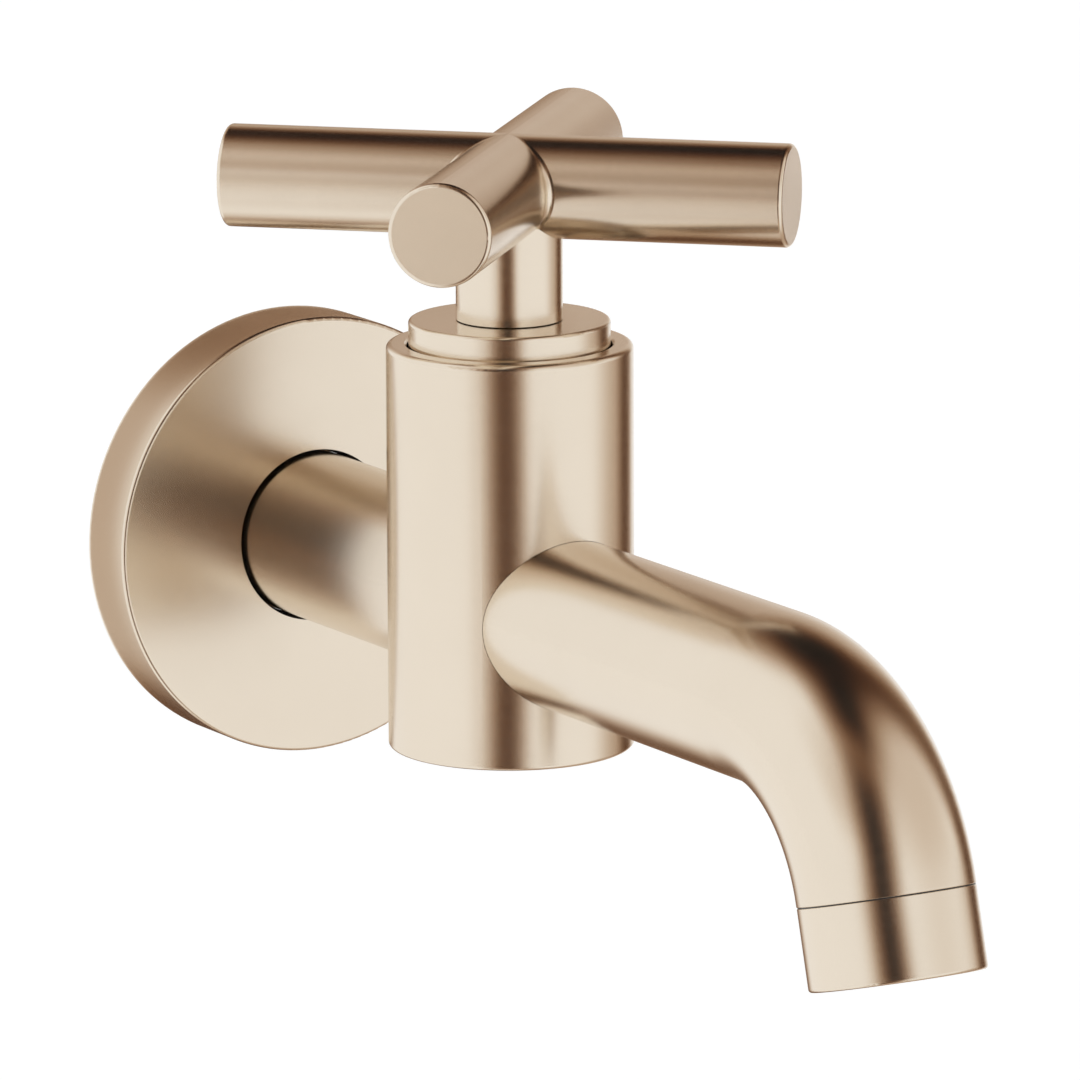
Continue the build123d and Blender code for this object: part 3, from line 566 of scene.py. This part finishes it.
# %% Ten pieces in bronze
upright = (0, 0, 0)
level_to_wall = (-math.pi / 2, 0, 0)
outlet_tilt = (spout_bend_angle - math.pi / 2, 0, 0)
bar_turn = (0, math.pi / 2, handle_angle)
arm_turn = (0, math.pi / 2, handle_angle + math.pi / 2)
bronze_axes = {
    "rosette": (pipe_centre, level_to_wall),
    "inlet_tube": (pipe_centre, level_to_wall),
    "valve_body": (valve_centre, upright),
    "collar": (valve_centre, upright),
    "handle_neck": (valve_centre, upright),
    "cross_bar": (handle_centre, bar_turn),
    "cross_arm_left": (handle_centre, arm_turn),
    "cross_arm_right": (handle_centre, arm_turn),
    "aerator_ring": (spout_mouth, outlet_tilt),
}
bronze_look = dict(light=(0.81, 0.72, 0.60), deep=(0.78, 0.69, 0.57), smoothest=0.19, roughest=0.25,
                   line_width=0.09 * millimetre, line_depth=0.001 * millimetre)
face_look = dict(bronze_look, smoothest=0.22, roughest=0.27, line_depth=0.0005 * millimetre)


def dress(names, material):
    for name in names:
        nodes[name].material_slots[0].material = material


for name, (centre, turn) in bronze_axes.items():
    look = face_look if name == "rosette" else bronze_look
    satin = brushed_metal("satin_" + name, lambda tree: along_axis(tree, centre, turn), **look)
    dress([name], satin)
dress(["spout_tube"], brushed_metal("satin_spout", along_bend, **bronze_look))
print("brushed pieces:", len(bronze_axes) + 1)

# %% [markdown]
# ## The thread in the wall
#
# The nipple carries a half-inch pipe thread. A lathe cuts it with one V-shaped tool that moves one
# pitch at every turn, and the same is done here: the V is drawn once, swept along a helix into a
# cutter, and the cutter is taken away from the nipple. The thread could also be painted on as a
# bump, but its crests stand out against the light, and a bump leaves a straight edge there.

# %% Draw the V of the thread
thread_pitch = 1.814 * millimetre
thread_depth = 1.162 * millimetre
thread_flat = thread_pitch / 6
cutter_margin = 0.5 * millimetre
v_width = thread_pitch - thread_flat
nipple_lowest, nipple_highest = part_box("wall_nipple")
crest_radius = (nipple_highest.x - nipple_lowest.x) / 2
cutter_middle = crest_radius + cutter_margin / 2
bpy.ops.object.select_all(action="DESELECT")
bpy.ops.mesh.primitive_plane_add(size=1)
cutter = bpy.context.object
cutter.name = "thread_cutter"
bpy.ops.object.mode_set(mode="EDIT")
bpy.ops.mesh.select_all(action="SELECT")
bpy.ops.transform.resize(value=(cutter_margin, v_width, 1))
bpy.ops.transform.translate(value=(cutter_middle, -thread_pitch / 2, 0))
bpy.ops.mesh.select_all(action="DESELECT")
bpy.ops.object.mode_set(mode="OBJECT")
for corner in cutter.data.vertices:
    corner.select = corner.co.x < cutter_middle
for edge in cutter.data.edges:
    edge.select = all(cutter.data.vertices[place].select for place in edge.vertices)
bpy.ops.object.mode_set(mode="EDIT")
bpy.ops.mesh.extrude_region_move(TRANSFORM_OT_translate={"value": (-thread_depth, 0, 0)})
bpy.ops.transform.resize(value=(1, thread_flat / v_width, 1))
bpy.ops.mesh.select_all(action="SELECT")
bpy.ops.mesh.dissolve_faces()
bpy.ops.mesh.delete(type="ONLY_FACE")
bpy.ops.object.mode_set(mode="OBJECT")
print("V of", len(cutter.data.vertices), "corners at radius", round(crest_radius / millimetre, 2), "mm")

# %% [markdown]
# ## Sweep the cutter
#
# A Screw modifier turns the V and moves it along at once, as a lathe's spindle and lead screw do
# together. A curve with the V as its bevel would do too, but it twists the V on its way. The sweep
# leaves both ends of the cutter open, so they are closed: only a closed solid can be taken away
# from another one. A pipe thread is right-handed, which is worth a check, because the wrong hand
# looks just as good.

# %% Sweep the V along its helix
thread_turns = 9
steps_per_turn = 72
most_end_sides = 8
sweep = cutter.modifiers.new("helix", "SCREW")
sweep.axis = "Y"
sweep.screw_offset = thread_pitch
sweep.iterations = thread_turns
sweep.steps = steps_per_turn
sweep.render_steps = steps_per_turn
bpy.ops.object.modifier_apply(modifier=sweep.name)
bpy.ops.object.mode_set(mode="EDIT")
bpy.ops.mesh.select_mode(type="EDGE")
bpy.ops.mesh.select_all(action="DESELECT")
bpy.ops.mesh.select_non_manifold()
bpy.ops.mesh.fill_holes(sides=most_end_sides)
bpy.ops.mesh.select_all(action="SELECT")
bpy.ops.mesh.normals_make_consistent(inside=False)
bpy.ops.mesh.select_mode(type="VERT")
bpy.ops.object.mode_set(mode="OBJECT")
start = min(cutter.data.vertices, key=lambda corner: corner.co.y)
eighth_turn = thread_pitch / 8
just_after = [corner.co for corner in cutter.data.vertices
              if 0 < corner.co.y - start.co.y < eighth_turn and corner.co.x > 0]
print("right-handed:", sum(co.z for co in just_after) < 0, "faces:", len(cutter.data.polygons))

# %% [markdown]
# ## Cut the nipple
#
# The nipple is copied, so that the finished piece from the workshop stays as it was, and the copy
# takes its place in the picture. The cut is a Boolean modifier with its exact solver, which is
# slower than the fast one and safer with so many thin faces.

# %% Take the cutter away from a copy of the nipple
weld_distance = 0.002 * millimetre
sharp_from = math.radians(30)
bpy.ops.object.select_all(action="DESELECT")
nodes["wall_nipple"].select_set(True)
bpy.context.view_layer.objects.active = nodes["wall_nipple"]
bpy.ops.object.duplicate()
threaded_nipple = bpy.context.object
threaded_nipple.name = "threaded_nipple"
bpy.ops.mesh.customdata_custom_splitnormals_clear()
bpy.ops.object.mode_set(mode="EDIT")
bpy.ops.mesh.select_all(action="SELECT")
bpy.ops.mesh.remove_doubles(threshold=weld_distance)
bpy.ops.mesh.normals_make_consistent(inside=False)
bpy.ops.object.mode_set(mode="OBJECT")
cut = threaded_nipple.modifiers.new("thread", "BOOLEAN")
cut.operation = "DIFFERENCE"
cut.solver = "EXACT"
cut.object = cutter
bpy.ops.object.modifier_apply(modifier=cut.name)
bpy.data.objects.remove(cutter)
bpy.ops.object.shade_smooth_by_angle(angle=sharp_from)
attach(threaded_nipple, "tap")
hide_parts("wall_nipple")
print("threaded nipple:", len(threaded_nipple.data.polygons), "faces")

# %% [markdown]
# ## A dark strip as painted shade in the outlet's groove
#
# Between the spout and the outlet ring runs a groove as wide as two hairs. A black rubber strip sunk
# at its bottom is painted shade: it draws the dark line of the deep groove that shows where the ring
# can be unscrewed. Here it is an open cylinder that is given its thickness inwards. It could be
# painted on the metal, but then the line would lie on the surface and not below it.

# %% Sink the dark strip of painted shade into the groove
shade_seal_sunk = 0.09 * millimetre
shade_seal_depth = 0.4 * millimetre
shade_seal_width = 0.15 * millimetre
shade_seal_place = 0.08 * millimetre
shade_seal_corners = 128
outlet_ring = nodes["aerator_ring"]
ring_radius = (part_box("aerator_ring")[1].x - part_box("aerator_ring")[0].x) / 2
shade_seal_radius = ring_radius - shade_seal_sunk
bpy.ops.object.select_all(action="DESELECT")
bpy.ops.mesh.primitive_cylinder_add(vertices=shade_seal_corners, radius=shade_seal_radius, depth=shade_seal_width,
                                    end_fill_type="NOTHING")
groove_shade_seal = bpy.context.object
groove_shade_seal.name = "groove_shade_seal"
thickness = groove_shade_seal.modifiers.new("thickness", "SOLIDIFY")
thickness.thickness = shade_seal_depth
thickness.offset = -1
bpy.ops.object.modifier_apply(modifier=thickness.name)
bpy.ops.object.mode_set(mode="EDIT")
bpy.ops.mesh.select_all(action="SELECT")
bpy.ops.transform.rotate(value=math.pi / 2 - spout_bend_angle, orient_axis="X",
                         center_override=(0, 0, 0))
bpy.ops.transform.translate(value=spout_mouth + shade_seal_place * spout_end)
bpy.ops.mesh.normals_make_consistent(inside=False)
bpy.ops.object.mode_set(mode="OBJECT")
bpy.ops.object.shade_smooth_by_angle(angle=sharp_from)
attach(groove_shade_seal, "tap")
ring_points = [outlet_ring.matrix_world @ corner.co - spout_mouth
               for corner in outlet_ring.data.vertices]
ring_reach = max((point - point.dot(spout_end) * spout_end).length for point in ring_points)
print("from the outlet's axis the ring reaches", round(ring_reach / millimetre, 2),
      "mm and the seal", round(shade_seal_radius / millimetre, 2), "mm")

# %% [markdown]
# ## Bare metals inside
#
# What nobody sees is left as it comes off the lathe: yellow brass with coarser feed marks than the
# brushed shell, and stainless steel for the screws, the clip and the two punched plates. Both
# could be made anew, but a turned surface is a brushed one with one tooth, so they use the brushed
# metal from above with wider and deeper lines.

# %% Turned brass and steel
brass_look = dict(light=(0.80, 0.61, 0.32), deep=(0.70, 0.50, 0.23), smoothest=0.20, roughest=0.34,
                  line_width=0.16 * millimetre, line_depth=0.006 * millimetre)
steel_look = dict(light=(0.64, 0.63, 0.61), deep=(0.55, 0.54, 0.52), smoothest=0.22, roughest=0.36,
                  line_width=0.12 * millimetre, line_depth=0.003 * millimetre)
brass_along_pipe = brushed_metal(
    "turned_brass_pipe", lambda tree: along_axis(tree, pipe_centre, level_to_wall), **brass_look)
brass_along_valve = brushed_metal(
    "turned_brass_valve", lambda tree: along_axis(tree, valve_centre, upright), **brass_look)
threaded_nipple.material_slots[0].material = brass_along_pipe
valve_brass = ["headpart_housing", "spindle"]
dress(valve_brass, brass_along_valve)
steel_turns = {
    "inlet_strainer": level_to_wall,
    "tube_set_screw": upright,
    "spindle_clip": upright,
    "handle_set_screw": level_to_wall,
    "aerator_filter": outlet_tilt,
}
for name, turn in steel_turns.items():
    centre = middle(name)
    steel = brushed_metal("steel_" + name, lambda tree: along_axis(tree, centre, turn), **steel_look)
    dress([name], steel)
print("turned brass pieces:", len(valve_brass) + 1, "steel pieces:", len(steel_turns))

# %% [markdown]
# ## Rubber
#
# Moulded and pressed pieces have no direction, only a grain from the mould. A plain dark colour
# would look like a hole, so the rubber gets a grain size, a depth, and slow changes of colour and
# gloss. The same recipe makes the foam, the gasket, the plastic and the ceramic further down.

# %% Mould the rubber
mottling_per_metre = 180.0
mould_share = 0.6
mottle_from = 0.3
mottle_to = 0.65


def grainy(name, light, deep, smoothest, roughest, grain_size, grain_depth,
           stretch=(1, 1, 1), cells=False, **inputs):
    """A surface of grains or of cut cells; further inputs go to the Principled shader."""
    material, tree, surface = new_material(name)
    for key, value in inputs.items():
        surface.inputs[key.replace("_", " ")].default_value = value
    coordinates = own_place(tree)
    stretched = add_node(tree, "ShaderNodeMapping", {"Scale": stretch})
    tree.links.new(coordinates, stretched.inputs["Vector"])
    if cells:
        pores = add_node(tree, "ShaderNodeTexVoronoi", {"Scale": 1 / grain_size, "Randomness": 1.0})
        tree.links.new(stretched.outputs[0], pores.inputs["Vector"])
        grain = pores.outputs["Distance"]
    else:
        grain = noise(tree, stretched.outputs[0], 1 / grain_size, detail=4.0, roughness=0.6)
    mottling = noise(tree, coordinates, mottling_per_metre, detail=3.0)
    mottling_part = calculate(tree, "MULTIPLY", mottling, 1 - mould_share)
    both = calculate(tree, "MULTIPLY_ADD", grain, mould_share, mottling_part)
    share = map_range(tree, both, mottle_from, mottle_to, 0, 1)
    tree.links.new(blend_colours(tree, share, light, deep), surface.inputs["Base Color"])
    dullness = map_range(tree, both, mottle_from, mottle_to, smoothest, roughest)
    tree.links.new(dullness, surface.inputs["Roughness"])
    relief = add_node(tree, "ShaderNodeBump", {"Strength": 1.0, "Distance": grain_depth})
    tree.links.new(grain, relief.inputs["Height"])
    tree.links.new(relief.outputs[0], surface.inputs["Normal"])
    return material


rubber_pieces = ["rosette_grip_ring", "nipple_rings", "aerator_washer", "seat_seal", "spindle_rings"]
black_rubber = grainy("black_rubber", light=(0.035, 0.035, 0.036), deep=(0.018, 0.018, 0.019),
                      smoothest=0.42, roughest=0.62,
                      grain_size=0.12 * millimetre, grain_depth=0.006 * millimetre)
dress(rubber_pieces, black_rubber)
# The black rubber on the strip in the outlet's groove is painted shade for the groove's dark line.
groove_shade_seal.data.materials.append(black_rubber)
print("rubber pieces:", len(rubber_pieces) + 1)

# %% [markdown]
# ## Foam, fibre, plastic and ceramic
#
# The foam shows its cut cells, so it takes its grain from a pattern of cells and not from a noise.
# The gasket is pressed from fibres, so its grain is stretched. The plastic lets a little light in,
# and the lapped discs are almost mirrors with fine pores. Scanned textures would do too, but these
# pieces are small and half hidden, and a formula is sharp from any distance.

# %% Dress the moulded and pressed pieces
cut_foam = grainy("cut_foam", light=(0.075, 0.076, 0.08), deep=(0.02, 0.02, 0.022),
                  smoothest=0.7, roughest=0.95,
                  grain_size=0.22 * millimetre, grain_depth=0.08 * millimetre, cells=True)
pressed_fibre = grainy("pressed_fibre", light=(0.42, 0.13, 0.08), deep=(0.24, 0.06, 0.04),
                       smoothest=0.6, roughest=0.85,
                       grain_size=0.1 * millimetre, grain_depth=0.02 * millimetre,
                       stretch=(0.35, 1, 2))
white_acetal = grainy("white_acetal", light=(0.80, 0.80, 0.77), deep=(0.73, 0.73, 0.70),
                      smoothest=0.32, roughest=0.48,
                      grain_size=0.15 * millimetre, grain_depth=0.003 * millimetre,
                      Subsurface_Weight=0.15, Subsurface_Scale=0.8 * millimetre)
lapped_alumina = grainy("lapped_alumina", light=(0.84, 0.83, 0.80), deep=(0.77, 0.76, 0.73),
                        smoothest=0.08, roughest=0.2,
                        grain_size=0.05 * millimetre, grain_depth=0.0006 * millimetre,
                        Subsurface_Weight=0.1, Subsurface_Scale=0.4 * millimetre)
dress(["wall_seal"], cut_foam)
dress(["body_gasket"], pressed_fibre)
dress(["aerator_insert", "aerator_diffuser", "slide_washer"], white_acetal)
dress(["fixed_disc", "turning_disc"], lapped_alumina)
shown = {name: node for name, node in nodes.items() if name != "wall_nipple"}
unfinished = [name for name, node in shown.items() if not node.material_slots[0].material.use_nodes]
print("pieces without a finish:", unfinished)

# %% [markdown]
# ## The view transform
#
# The picture shows colours as they are written, so the view transform is Standard and not the one
# that Blender starts with, which would turn the white grey.

# %% Set the view transform
bpy.context.scene.view_settings.view_transform = "Standard"
